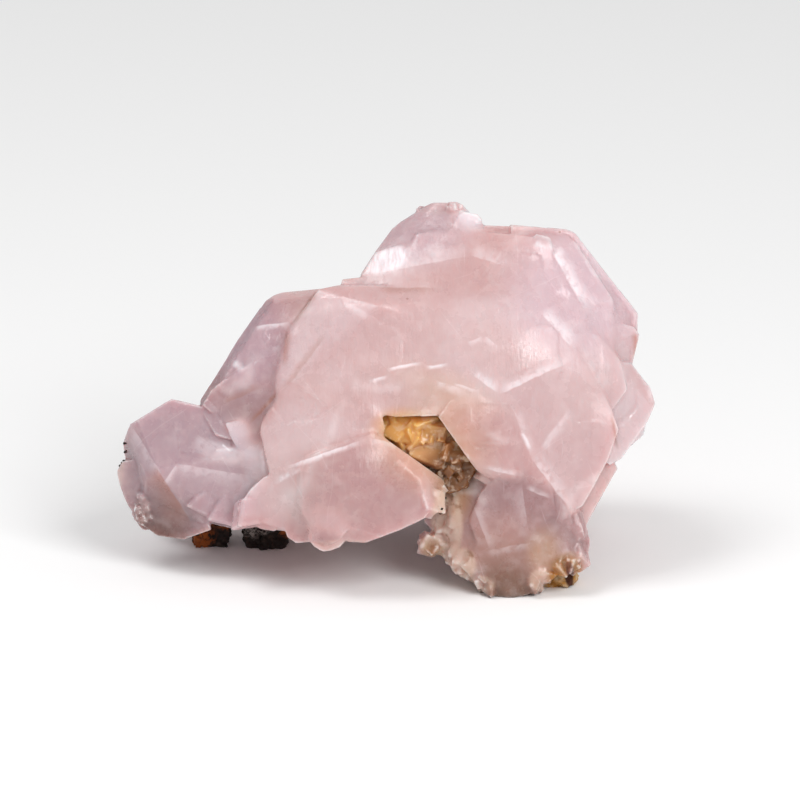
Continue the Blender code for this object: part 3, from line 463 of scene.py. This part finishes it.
def normals_of(made):
    """The outward normals at a mesh's corners, one row each."""
    normals = np.empty(len(made.data.vertices) * 3, np.float32)
    made.data.vertices.foreach_get("normal", normals)
    return normals.reshape(-1, 3)


def stand_on_floor(made):
    """Brings what reaches under the floor up to it."""
    places = corners_of(made)
    places[:, 2] = np.maximum(places[:, 2], 0)
    move_corners(made, places)


def shade_smooth(made):
    only(made)
    bpy.ops.object.shade_smooth()
    return made


def as_piece(grown, name):
    """The worked mesh as an object of the scene."""
    mesh = bpy.data.meshes.new(name)
    grown.to_mesh(mesh)
    grown.free()
    made = bpy.data.objects.new(name, mesh)
    bpy.context.scene.collection.objects.link(made)
    return made


def within(u, v, ellipse, outer=1.15, soft=0.35):
    """1 inside an ellipse (u, v), radii, falling to 0 by outer times its radii."""
    away = np.hypot((u - ellipse[0]) / ellipse[2], (v - ellipse[1]) / ellipse[3])
    return np.clip((outer - away) / soft, 0, 1)


def thickest(places, ellipses, outer=1.15, soft=0.35):
    """At places (u, v, w), the most that any of the ellipses (u, v), radii and amount gives."""
    amount = np.zeros(len(places))
    for ellipse in ellipses:
        amount = np.maximum(amount, ellipse[4] * within(places[:, 0], places[:, 1], ellipse, outer, soft))
    return amount


def triangles_of(made):
    return sum(len(face.vertices) - 2 for face in made.data.polygons)


def on_drawing(places):
    """Places in metres to (u, v, w) in mm on the drawing plane."""
    turn = np.array(FRONT.inverted())
    return places @ turn[:3, :3].T + turn[:3, 3]


def face_groups(node):
    """The node's flat faces: its merged mesh, and for each triangle the number of the face it is part of."""
    mesh = bmesh.new()
    mesh.from_mesh(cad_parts[node].data)
    bmesh.ops.remove_doubles(mesh, verts=mesh.verts[:], dist=MERGE)
    mesh.normal_update()
    mesh.faces.ensure_lookup_table()
    group = np.full(len(mesh.faces), -1)
    for first in mesh.faces:
        if group[first.index] >= 0:
            continue
        number = group.max() + 1
        group[first.index] = number
        edge = [first]
        while edge:
            for side in edge.pop().edges:
                for near in side.link_faces:
                    if group[near.index] < 0 and near.normal.dot(first.normal) > FLAT:
                        group[near.index] = number
                        edge.append(near)
    return mesh, group


def seen_from_front(tree, u, v):
    """The w at which the viewer's line through (u, v) first meets the tree, or nothing."""
    start = FRONT @ Vector((u, v, 200))
    place = tree.ray_cast(start, FRONT.to_3x3() @ Vector((0, 0, -1)))[0]
    return None if place is None else (FRONT.inverted() @ place).z


def face_tones(made, solid, tree, group, zones):
    """For each corner of the piece, the tone of the crystal face it lies on: a little of the face's own, and
    that of the zones its middle lies in."""
    draw = np.random.default_rng(11)
    tone = draw.normal(0, 0.16, group.max() + 1)
    area = np.array([face.calc_area() for face in solid.faces])
    middle = on_drawing(np.array([face.calc_center_median() for face in solid.faces]))
    u, v, w = (np.bincount(group, area * middle[:, k]) / np.bincount(group, area) for k in range(3))
    for zone in zones:
        tone += zone[4] * within(u, v, zone) * (w > FRONT_REACH)
    nearest = [tree.find_nearest(Vector(place))[2] for place in corners_of(made)]
    return np.clip(tone, -1, 1)[group[nearest]]


def blurred(values, reach):
    """A grid of values spread by a bell curve of this reach, in cells."""
    steps = np.arange(-3 * reach, 3 * reach + 1)
    bell = np.exp(-((steps / reach) ** 2) / 2)
    for axis in (0, 1):
        values = np.apply_along_axis(np.convolve, axis, values, bell, "same")
    return values


# where neighbouring crystals grew into one another and their steps all but healed: ellipses (u, v), radii
# and how much of the step is gone
HEALED = [
    (25, 60, 22, 23, 1), (14, 66, 13, 10, 0.95), (41, 56, 12, 19, 0.8), (0, 47, 14, 10, 0.9),
    (-20, 48, 9, 18, 0.85), (-28, 43, 7, 10, 0.6), (-24, 32, 6, 8, 0.5), (-9, 30, 12, 8, 0.7),
    (-16, 20, 9, 11, 0.85), (25, 12, 12, 14, 0.6), (30, 32, 12, 14, 0.6),
]


def healed_amount(seen):
    """How much of the steps is gone at places (u, v, w), from 0 to 1."""
    return thickest(seen, HEALED)


def spread(made, numbers, amount, times):
    """Numbers at a mesh's corners, each drawn towards its neighbours' mean by amount, times over."""
    ends = np.empty(len(made.data.edges) * 2, np.int32)
    made.data.edges.foreach_get("vertices", ends)
    near, far = ends[0::2], ends[1::2]
    count = np.bincount(ends, minlength=len(numbers))
    for _ in range(times):
        total = np.bincount(near, numbers[far], len(numbers)) + np.bincount(far, numbers[near], len(numbers))
        numbers = numbers + amount * (total / count - numbers)
    return numbers


def heal_steps(made, tree):
    """Draws the healed crystals' front faces together along the viewer's line, so that neighbours meet almost
    flush; towards the outline and the hollow the full depth stays. Gives the amount at each corner."""
    u_line, v_line = np.arange(-58, 58, 1.0), np.arange(-3, 84, 1.0)
    height = np.array([[seen_from_front(tree, u, v) or np.nan for v in v_line] for u in u_line])
    near = height > FRONT_REACH
    level = blurred(np.where(near, height, 0), 5) / np.maximum(blurred(near * 1.0, 5), 1e-3)
    inside = np.clip((blurred(near * 1.0, 2) / blurred(np.ones_like(height), 2) - 0.75) / 0.2, 0, 1)
    places = corners_of(made)
    seen = on_drawing(places)
    i = np.clip(seen[:, 0] - u_line[0], 0, len(u_line) - 1.001)
    j = np.clip(seen[:, 1] - v_line[0], 0, len(v_line) - 1.001)
    a, b = i.astype(int), j.astype(int)
    s, t = i - a, j - b

    def read(grid):
        low = grid[a, b] * (1 - s) + grid[a + 1, b] * s
        high = grid[a, b + 1] * (1 - s) + grid[a + 1, b + 1] * s
        return low * (1 - t) + high * t

    gap = seen[:, 2] - read(level)
    towards = np.array(FRONT.to_3x3() @ Vector((0, 0, 1)))
    facing = np.clip(1 + 3 * (normals_of(made) @ towards), 0, 1)
    amount = read(inside) * facing * np.clip(2 - np.abs(gap) / 7, 0, 1) * healed_amount(seen)
    depth = seen[:, 2] - gap * amount * HEALING
    depth = spread(made, depth, amount, HEAL_TIMES)
    drawn = places + (depth - seen[:, 2])[:, None] * towards
    # where a step is gone altogether its folds go too; where it is only lower it keeps its edge
    move_corners(made, np.stack([spread(made, drawn[:, k], amount**4, HEAL_TIMES) for k in range(3)], axis=1))
    return amount


def edge_amount(made, reach):
    """For each corner, how far smoothing pulls it in, from 0 to 1 at reach mm: the crystal edges, chipped in the
    mesh and lightened with painted highlight in the material.
    """
    before = corners_of(made)
    smooth = made.copy()
    smooth.data = made.data.copy()
    bpy.context.scene.collection.objects.link(smooth)
    modify(smooth, "SMOOTH", factor=0.5, iterations=6)
    after = corners_of(smooth)
    bpy.data.objects.remove(smooth)
    pulled = ((before - after) * normals_of(made)).sum(axis=1)
    return np.clip(pulled / (reach * MM), 0, 1)


def keep_number(made, name, numbers):
    """Stores one number for each corner as an attribute."""
    kept = made.data.attributes.new(name, "FLOAT", "POINT")
    kept.data.foreach_set("value", numbers.astype(np.float32))


def keep_amount(made, name, amount):
    """Stores one amount from 0 to 1 for each corner as an attribute and as a vertex group."""
    keep_number(made, name, amount)
    group = made.vertex_groups.new(name=name)
    for step in range(1, 9):
        near = np.nonzero(np.round(amount * 8).astype(int) == step)[0]
        group.add(near.tolist(), step / 8, "REPLACE")


# where the crystals are milkier (up to 1) or darker (down to -1) than the rest: ellipses (u, v),
# radii and by how much. The darker zones on the crystal at the left and the slope at the back left are painted
# shade on the sides turned from the light; on the leg the darker tone is partly its clearer, deeper crystal and
# partly painted shade of the underside
MILKY_AND_SHADED = [
    # the crystal at the left, and the blade beside it
    (-46, 26, 12, 14, -0.5), (-29, 29, 4, 8, 0.7),
    # the slope at the back left, and the grey crest with its white face
    (-30, 48, 12, 14, -0.5), (6, 76, 8, 4, -0.4), (16, 76, 3, 3, 1.0),
    # the broad middle, the steps right of it and the outermost crystals at the right
    (0, 42, 26, 24, 0.2), (24, 52, 12, 14, 0.3), (50, 40, 8, 10, 0.5),
    # the leg
    (24, 10, 16, 14, -0.6),
]


def rhomb(name, bevel=0.07, shape=(1, 1, 1)):
    """One small calcite rhomb, 1 mm on a side times its shape, leaning over, with its edges worn."""
    bpy.ops.object.select_all(action="DESELECT")
    bpy.ops.mesh.primitive_cube_add(size=1)
    made = bpy.context.object
    made.name = name
    bpy.ops.object.mode_set(mode="EDIT")
    bpy.ops.mesh.select_all(action="SELECT")
    bpy.ops.mesh.bevel(offset=bevel, segments=1, affect="EDGES")
    bpy.ops.object.mode_set(mode="OBJECT")
    lean = Matrix(((1, 0.24, 0.18, 0), (0, 1, 0.22, 0), (0, 0, 1, 0), (0, 0, 0, 1)))
    made.data.transform(lean @ Matrix.Diagonal((*shape, 1)) @ Matrix.Scale(MM, 4))
    return made


def spots_on(made, count, chance, draw):
    """Count places on the piece's surface, each with its outward normal, picked by the chance that the
    places (u, v, w) and the normals on the drawing plane have."""
    faces = made.data.polygons
    middles = np.empty(len(faces) * 3, np.float32)
    faces.foreach_get("center", middles)
    middles = middles.reshape(-1, 3)
    normals = np.empty(len(faces) * 3, np.float32)
    faces.foreach_get("normal", normals)
    normals = normals.reshape(-1, 3)
    areas = np.empty(len(faces), np.float32)
    faces.foreach_get("area", areas)
    turn = np.array(FRONT.inverted())[:3, :3] * MM
    weights = areas * chance(on_drawing(middles), normals @ turn.T)
    picked = draw.choice(len(faces), size=count, p=weights / weights.sum())
    return [(Vector(middles[k]), Vector(normals[k])) for k in picked]


def scatter(name, template, spots, sizes, draw, sink=0.3, aim=None):
    """Copies of the template on the spots, turned at random about a normal that leans a little."""
    grown = bmesh.new()
    for place, normal in spots:
        lean = Vector(draw.normal(0, 0.35, 3))
        heading = (normal + lean + (aim if aim else Vector())).normalized()
        turn = heading.to_track_quat("Z", "Y").to_matrix().to_4x4()
        spin = Matrix.Rotation(draw.uniform(0, math.tau), 4, "Z")
        size = draw.uniform(*sizes)
        stretch = Matrix.Diagonal((size * draw.uniform(0.7, 1.2), size * draw.uniform(0.7, 1.2), size, 1))
        tip = Matrix.Rotation(draw.uniform(0, TIP), 4, "X")
        one = template.data.copy()
        one.transform(Matrix.Translation(place + normal * size * MM * (0.5 - sink)) @ turn @ spin @ tip @ stretch)
        grown.from_mesh(one)
        bpy.data.meshes.remove(one)
    return as_piece(grown, name)


def join(pieces, name):
    only(pieces[0])
    for piece in pieces[1:]:
        piece.select_set(True)
    bpy.ops.object.join()
    pieces[0].name = name
    return pieces[0]


def beds(*ellipses):
    """The chance of growth in ellipses (u, v), radii and weight, on faces turned to the front or aside."""

    def chance(places, normals):
        return thickest(places, ellipses, 1.1, 0.3) * (normals[:, 2] > -0.2) * (places[:, 2] > -16)

    return chance


def placed(name, template, rows):
    """Copies of the template at (u, v, w) on the drawing plane, each with its size along x, y and z in mm and
    its turns about the viewer's line, the across line and its own long way."""
    grown = bmesh.new()
    axes = FRONT.to_3x3().to_4x4()
    for u, v, w, size, turns in rows:
        spin = Matrix.Identity(4)
        for angle, axis in zip(turns, "ZXY"):
            spin = spin @ Matrix.Rotation(math.radians(angle), 4, axis)
        one = template.data.copy()
        one.transform(Matrix.Scale(1 / MM, 4))
        one.transform(Matrix.Translation(FRONT @ Vector((u, v, w))) @ axes @ spin @ Matrix.Diagonal((*size, 1)))
        grown.from_mesh(one)
        bpy.data.meshes.remove(one)
    return as_piece(grown, name)


# where a crust of small crystals covers the large ones: ellipses (u, v), radii and how thickly
CRUST = [
    # down the left of the leg to the tan foot, along its lower edge, and round the rusty rock
    (12.2, 15, 3.2, 8, 1), (14.8, 7, 3.4, 3.6, 0.9), (9.5, 11, 3, 2.4, 1), (18, 3, 4, 2, 0.5), (31, 4, 2.6, 2.4, 0.6),
    (37.0, 7.4, 3, 2.6, 0.5),
    # the lower edge of the front crystals, the left edge and the ragged crest
    (-8, 10.8, 8, 1.4, 0.4), (-48.8, 18, 1.6, 3.0, 0.3), (-53.6, 28, 1.2, 6, 0.4), (12, 78.5, 7, 1.4, 0.25),
]


def crust_amount(seen):
    """How thick the crust is at places (u, v, w), from 0 to 1."""
    return thickest(seen, CRUST) * np.clip((seen[:, 2] + 18) / 6, 0, 1)


def grown_crystals(bed, tree):
    """The smaller crystals that stand on the large ones, in one piece: down the leg, under the crystal at the
    left, beside the druse, and where faces are broken."""
    seed_crystal, grain, column = rhomb("seed crystal"), rhomb("grain", 0.08), rhomb("column", 0.1)
    draw = np.random.default_rng(21)
    crust = spots_on(bed, 110, beds(*(spot for spot in CRUST if spot[0] > 0 and spot[1] < 30)), draw)
    pieces = [
        scatter("crust crystals", grain, crust[:70], (1.6, 3.2), draw, sink=0.84),
        scatter("crust lumps", grain, crust[70:], (2.6, 4.4), draw, sink=0.84),
    ]
    broken = beds((-48.8, 17.6, 1.6, 3.2, 1))
    pieces.append(scatter("broken patch", seed_crystal, spots_on(bed, 40, broken, draw), (0.9, 1.7), draw, sink=0.6))
    cracks = beds(
        (-5.4, 38.6, 0.8, 1.4, 1), (-25.6, 28.2, 0.8, 1.6, 1), (27.9, 31.4, 0.5, 1.8, 1), (12, 78.0, 5, 1.0, 0.6),
        (18.6, 23.8, 1.8, 1.2, 1),
    )
    pieces.append(scatter("cracks", seed_crystal, spots_on(bed, 26, cracks, draw), (0.9, 1.8), draw, sink=0.7))
    # slender crystals side by side down the right of the leg
    rows = []
    for step in range(8):
        u, v = 34.0 + 0.55 * step, 21 - 0.8 * step + draw.uniform(-1, 1)
        w = seen_from_front(tree, u, v)
        size = (draw.uniform(1.8, 2.8), draw.uniform(6, 9), draw.uniform(1.6, 2.4))
        rows.append((u, v, (w or -4) - 0.6, size, (draw.uniform(18, 30), draw.uniform(-10, 4), draw.uniform(0, 90))))
    pieces.append(placed("side columns", column, rows))
    # blocky crystals between the lumps of dark rock
    rows = []
    blocks = ((-36.0, 19.4, 5.6, -28), (-31.6, 17.8, 6.2, -14), (-26.6, 17.6, 5.8, 8), (-21.6, 16.4, 4.4, -20))
    for u, v, size, turn in blocks:
        w = seen_from_front(tree, u, v + 1.5)
        rows.append((u, v, (w or -6) - 2.9, (size * 1.2, size, size), (turn, 6, 8)))
    pieces.append(placed("under crystals", seed_crystal, rows))
    # one between the druse and the crystal over the leg
    w = seen_from_front(tree, 20.4, 22.4)
    wedge = (20.2, 24.6, (w or -4) - 2.6, (3.6, 3.0, 4.0), (-34, 8, 20))
    pieces.append(placed("wedge crystal", seed_crystal, [wedge]))
    for template in (seed_crystal, grain, column):
        bpy.data.objects.remove(template)
    return join(pieces, "grown crystals")


def calcite_skin():
    """The crystals' surface: neighbours healed together, smaller crystals grown on them, low ledges where a
    face grew in blocks, and edges worn and chipped."""
    made = copy_of("calcite_cluster", "calcite_crystals")
    solid, group = face_groups("calcite_cluster")
    tree = BVHTree.FromBMesh(solid)
    bed = copy_of("calcite_cluster", "bed")
    modify(bed, "REMESH", mode="VOXEL", voxel_size=BED_MESH * MM)
    made = join([made, grown_crystals(bed, tree)], "calcite_crystals")
    bpy.data.objects.remove(bed)
    only(made)
    crisp = made.copy()
    crisp.data = made.data.copy()
    bpy.context.scene.collection.objects.link(crisp)
    modify(made, "REMESH", mode="VOXEL", voxel_size=SKIN_MESH * MM)
    modify(made, "SHRINKWRAP", target=crisp, wrap_method="NEAREST_SURFACEPOINT")
    bpy.data.objects.remove(crisp)
    tones = face_tones(made, solid, tree, group, MILKY_AND_SHADED)
    healed = heal_steps(made, tree)
    tones = spread(made, tones, 0.03 + 0.97 * healed, 60)
    keep_number(made, "tone", tones)
    solid.free()
    blocks = cloud_texture("growth blocks", "VORONOI", 11, color_mode="POSITION", distance_metric="CHEBYCHEV")
    modify(made, "DISPLACE", texture=blocks, strength=2 * LEDGE * MM, mid_level=0.5, texture_coords="LOCAL")
    crust = crust_amount(on_drawing(corners_of(made)))
    keep_amount(made, "crust", crust)
    knobs = cloud_texture("crust knobs", "CLOUDS", 3.2, noise_depth=1)
    grains = cloud_texture("crust grains", "VORONOI", 1.5, distance_metric="DISTANCE")
    for texture, strength in ((knobs, 0.6), (grains, -0.25)):
        modify(
            made, "DISPLACE", texture=texture, strength=strength * MM, mid_level=0.45, texture_coords="LOCAL",
            vertex_group="crust",
        )
    # the edges: chipped below, and given a painted highlight in the material
    keep_amount(made, "rim", edge_amount(made, 0.12) * (1 - healed))
    chips = cloud_texture("edge chips", "CLOUDS", 1.3, noise_depth=2)
    modify(
        made, "DISPLACE", texture=chips, strength=0.45 * MM, mid_level=0.7, texture_coords="LOCAL", vertex_group="rim"
    )
    modify(made, "DECIMATE", ratio=SKIN_LIMIT / triangles_of(made))
    stand_on_floor(made)
    return shade_smooth(made)


def rock(node, name, seed):
    """A remnant of the host rock: broken, pitted and grown into the crystals above it."""
    made = copy_of(node, name)
    modify(made, "REMESH", mode="VOXEL", voxel_size=ROCK_MESH * MM)
    made.data.transform(Matrix.Translation((seed * 0.1, 0, 0)))
    lumps = cloud_texture("rock lumps", "CLOUDS", 2.2, noise_depth=3)
    modify(made, "DISPLACE", texture=lumps, strength=2.2 * MM, mid_level=0.42, texture_coords="LOCAL")
    grains = cloud_texture("rock grains", "VORONOI", 0.8, distance_metric="DISTANCE")
    modify(made, "DISPLACE", texture=grains, strength=0.5 * MM, mid_level=0.5, texture_coords="LOCAL")
    made.data.transform(Matrix.Translation((-seed * 0.1, 0, 0)))
    stand_on_floor(made)
    return shade_smooth(made)


def dark_grains(skin):
    """The grains of dark rock caught along the left edge and in the leg's crust."""
    draw = np.random.default_rng(9)
    grain = rhomb("grain", 0.2)
    edge = beds((-53.2, 30, 1.2, 4, 1))
    leg = beds((11.6, 20.6, 0.7, 0.9, 1), (11.0, 17.6, 0.7, 0.9, 1))
    pieces = [
        scatter("edge grains", grain, spots_on(skin, 14, edge, draw), (0.25, 0.55), draw, sink=0.6),
        scatter("leg grains", grain, spots_on(skin, 6, leg, draw), (0.35, 0.6), draw, sink=0.6),
    ]
    bpy.data.objects.remove(grain)
    return join(pieces, "dark_grains")


def pocket_lining():
    """The druse in the hollow: a crust, with small crystals and petals of calcite standing on it."""
    draw = np.random.default_rng(7)
    seed_crystal, petal = rhomb("seed crystal"), rhomb("petal", 0.1, (1, 1, 0.35))
    crust = copy_of("pocket_druse", "pocket_crystals")
    modify(crust, "REMESH", mode="VOXEL", voxel_size=0.35 * MM)
    modify(crust, "DISPLACE", strength=1.1 * MM, mid_level=0)
    lumps = cloud_texture("crust lumps", "CLOUDS", 1.6, noise_depth=2)
    modify(crust, "DISPLACE", texture=lumps, strength=0.8 * MM, mid_level=0.5, texture_coords="LOCAL")
    viewer = FRONT.to_3x3() @ Vector((0, 0.3, 1)) * 800

    def outward(_, normals):
        return (normals[:, 2] > 0.2) * 1.0

    def upper(places, normals):
        return (normals[:, 2] > 0.2) * np.clip((places[:, 1] - 26) / 6, 0.1, 1)

    small = scatter("small", seed_crystal, spots_on(crust, 60, outward, draw), (1.0, 2.0), draw, sink=0.45)
    large = scatter("large", seed_crystal, spots_on(crust, 12, outward, draw), (2.4, 3.6), draw, sink=0.55)
    petals = scatter("petals", petal, spots_on(crust, 22, upper, draw), (3.6, 6.0), draw, sink=0.5, aim=viewer)
    made = join([crust, small, large, petals], "pocket_crystals")
    for template in (seed_crystal, petal):
        bpy.data.objects.remove(template)
    modify(made, "REMESH", mode="VOXEL", voxel_size=DRUSE_MESH * MM)
    modify(made, "DECIMATE", ratio=min(1, DRUSE_LIMIT / triangles_of(made)))
    return shade_smooth(made)


# ---------------------------------------------------------------- the set


def studio():
    world = bpy.data.worlds.new("studio air")
    bpy.context.scene.world = world
    world.use_nodes = True
    air = world.node_tree.nodes["Background"]
    air.inputs["Color"].default_value = linear("#FFFFFF")
    air.inputs["Strength"].default_value = 0.45
    floor()
    soft_light("overhead", (-0.36, -0.1, 0.8), 0.36, 2.4)
    soft_light("key", (0.45, -0.6, 0.65), 0.5, 5.4)


def floor():
    """A plain pale floor, wide enough to reach past the picture."""
    bpy.ops.object.select_all(action="DESELECT")
    bpy.ops.mesh.primitive_plane_add(size=6)
    made = bpy.context.object
    made.name = "floor"
    made.data.materials.append(floor_paint())


def soft_light(name, place, size, power):
    lamp = bpy.data.lights.new(name, "AREA")
    lamp.size = size
    lamp.energy = power
    made = bpy.data.objects.new(name, lamp)
    made.location = place
    made.rotation_euler = (Vector((0, 0, 0.03)) - Vector(place)).to_track_quat("-Z", "Y").to_euler()
    bpy.context.scene.collection.objects.link(made)


def camera():
    """Looks along the drawing plane's normal, from far enough that the lines stay nearly parallel."""
    lens = bpy.data.cameras.new("camera")
    made = bpy.data.objects.new("camera", lens)
    towards = Vector((0, -math.cos(LEAN), math.sin(LEAN)))
    target = FRONT @ Vector((2.8, 40, 0))
    distance, picture_width = 3.0, 0.16  # in metres; the width is what the picture spans at the plane
    lens.sensor_width = 36
    lens.lens = lens.sensor_width * distance / picture_width
    lens.clip_end = 20
    made.location = target + towards * distance
    made.rotation_euler = (-towards).to_track_quat("-Z", "Y").to_euler()
    bpy.context.scene.collection.objects.link(made)
    bpy.context.scene.camera = made


bpy.context.scene.view_settings.view_transform = "Standard"

skin = calcite_skin()
skin.data.materials.append(pink_calcite())
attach(skin, "root")
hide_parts("calcite_cluster")

druse = pocket_lining()
druse.data.materials.append(stained_calcite())
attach(druse, "root")
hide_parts("pocket_druse")

soot = dark_rock()
for node, name, look in (
    ("dark_matrix_left", "left_rock", soot),
    ("dark_matrix_centre", "centre_rock", soot),
    ("stained_matrix_right", "right_rock", rusty_rock()),
):
    piece = rock(node, name, len(name))
    piece.data.materials.append(look)
    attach(piece, "root")
    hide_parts(node)

caught = dark_grains(skin)
caught.data.materials.append(soot)
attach(caught, "root")

studio()
camera()
